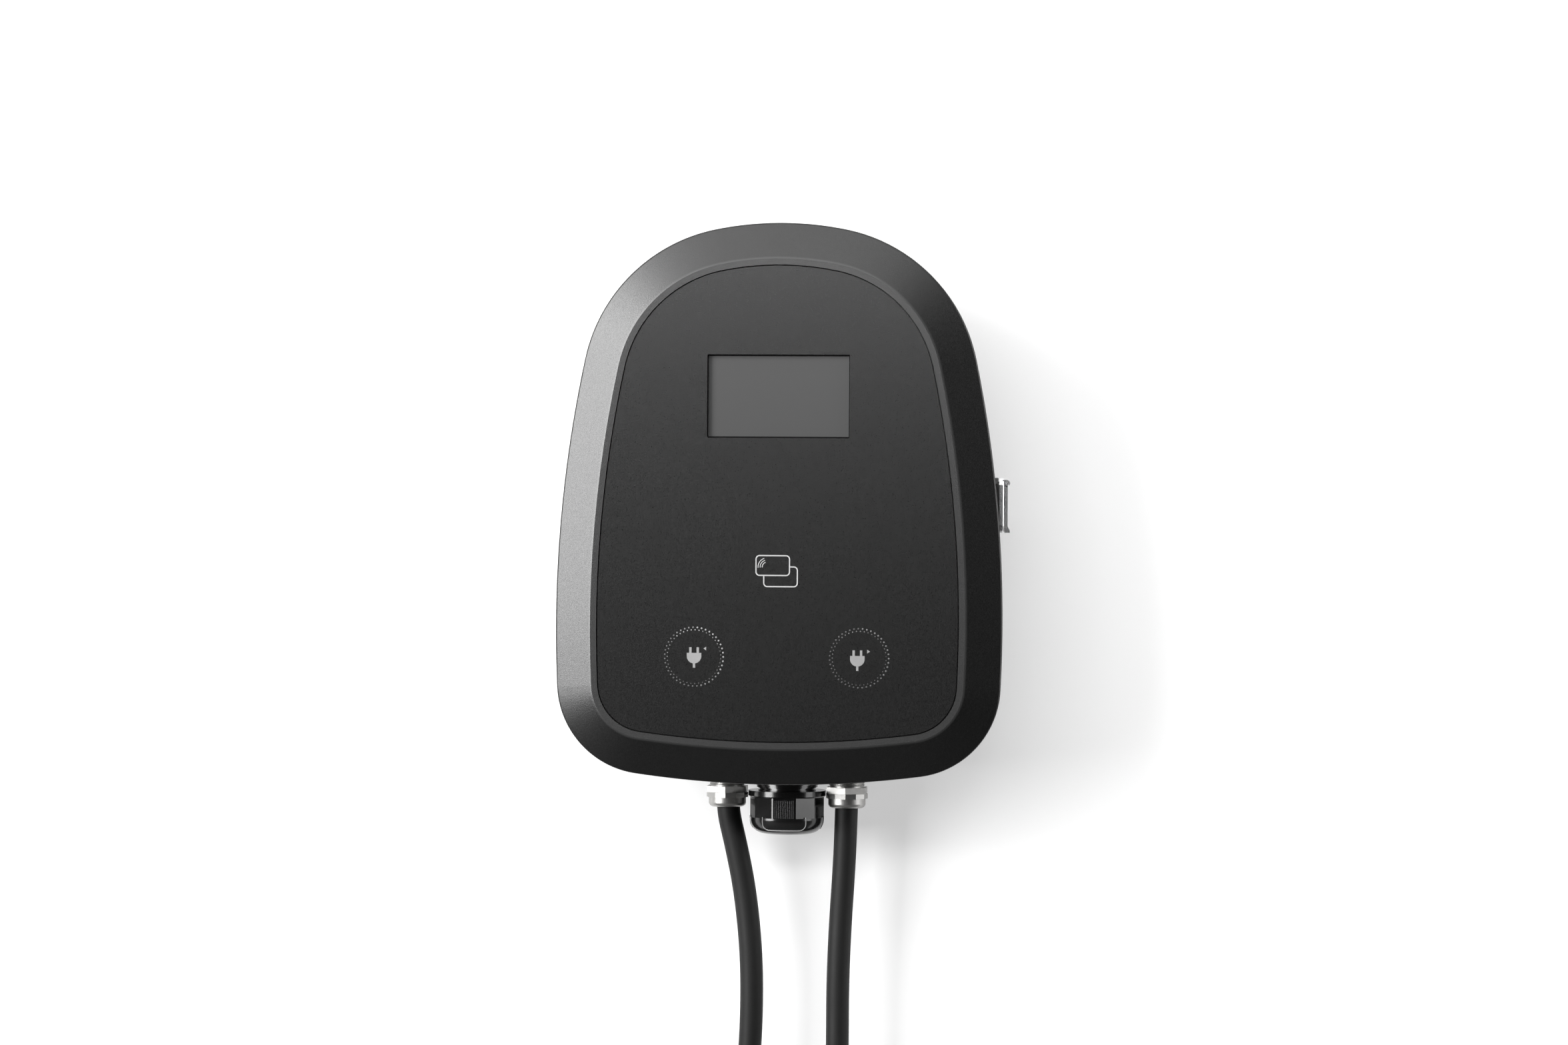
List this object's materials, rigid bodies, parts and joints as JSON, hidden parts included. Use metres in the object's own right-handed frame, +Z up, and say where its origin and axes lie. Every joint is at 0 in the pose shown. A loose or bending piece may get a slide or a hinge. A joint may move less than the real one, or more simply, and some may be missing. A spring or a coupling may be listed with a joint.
{
  "type": "charging station",
  "caption": "wall-mounted vehicle charging station with a hinged rounded cover, a display, dotted light rings, a side lock, cable glands and tethered charging cables",
  "frame": {"origin": "centre of the four wall bolts, on the wall plane", "axes": "+X right seen from the front, +Y into the wall, +Z up; the object stands out towards -Y"},
  "size_m": [0.5025, 0.118, 0.9843],
  "materials": {
    "cover_paint": "fine textured powder coat",
    "housing_paint": "smooth powder coat",
    "zinc_steel": "zinc plated",
    "screw_steel": "plated",
    "module_metal": "folded sheet",
    "nickel": "nickel plated",
    "lock_chrome": "polished",
    "seal_rubber": "smooth",
    "cable_jacket": "satin",
    "panel_plastic": "fine texture",
    "module_plastic": "moulded",
    "dark_plastic": "moulded",
    "black_nylon": "moulded nylon",
    "light_plastic": "clear to milky",
    "board_green": "solder mask",
    "screen_glass": "clear",
    "strap_fabric": "woven hook and loop"
  },
  "bodies": {
    "housing": {"wall_bracket": "zinc_steel", "rear_housing": "housing_paint", "housing_screws": "screw_steel", "door_gasket": "seal_rubber", "hinge_pins": "screw_steel", "striker_pin": "screw_steel", "gland_body_left": "nickel", "gland_body_right": "nickel", "gland_cap_left": "nickel", "gland_cap_right": "nickel", "gland_seals": "seal_rubber", "gland_locknuts": "nickel", "mains_gland_body": "black_nylon", "mains_gland_cap": "black_nylon", "mains_gland_plug": "dark_plastic", "mains_gland_locknut": "black_nylon", "mounting_plate": "zinc_steel", "plate_screws": "screw_steel", "din_rail": "zinc_steel", "breakers": "module_plastic", "breaker_levers": "dark_plastic", "power_supply": "module_plastic", "power_board": "board_green", "contactor_left": "module_plastic", "contactor_right": "module_plastic", "current_sensors": "dark_plastic", "terminal_block": "module_plastic", "cable_left": "cable_jacket", "cable_right": "cable_jacket", "coil_left": "cable_jacket", "coil_right": "cable_jacket", "connector_boot_left": "seal_rubber", "connector_boot_right": "seal_rubber", "connector_grip_left": "dark_plastic", "connector_grip_right": "dark_plastic", "connector_nose_left": "dark_plastic", "connector_nose_right": "dark_plastic", "coil_straps": "strap_fabric"},
    "door": {"front_cover": "cover_paint", "sealing_frame": "cover_paint", "frame_screws": "screw_steel", "front_panel": "panel_plastic", "display_glass": "screen_glass", "display_module": "module_metal", "control_board": "board_green", "board_spacers": "screw_steel", "reader_board": "board_green", "light_guide_left": "light_plastic", "light_guide_right": "light_plastic", "light_boards": "board_green", "lock_gasket": "seal_rubber", "lock_body": "lock_chrome", "lock_nut": "lock_chrome", "flap_pin": "screw_steel"},
    "lock_plug": {"lock_cylinder": "lock_chrome", "lock_cam": "screw_steel", "cam_screw": "screw_steel"},
    "dust_flap": {"lock_flap": "lock_chrome"}
  },
  "joints": [
    {"name": "door_hinge", "type": "hinge", "parent": "housing", "child": "door", "pos_m": [-0.14, -0.062, 0], "axis": [0, 0, -1], "range_deg": [0, 110]},
    {"name": "key_turn", "type": "hinge", "parent": "door", "child": "lock_plug", "pos_m": [0.1306, -0.088, 0], "axis": [-1, 0, 0], "range_deg": [0, 90]},
    {"name": "flap_hinge", "type": "hinge", "parent": "door", "child": "dust_flap", "pos_m": [0.1526, -0.088, 0.0152], "axis": [0, -1, 0], "range_deg": [0, 100]}
  ]
}
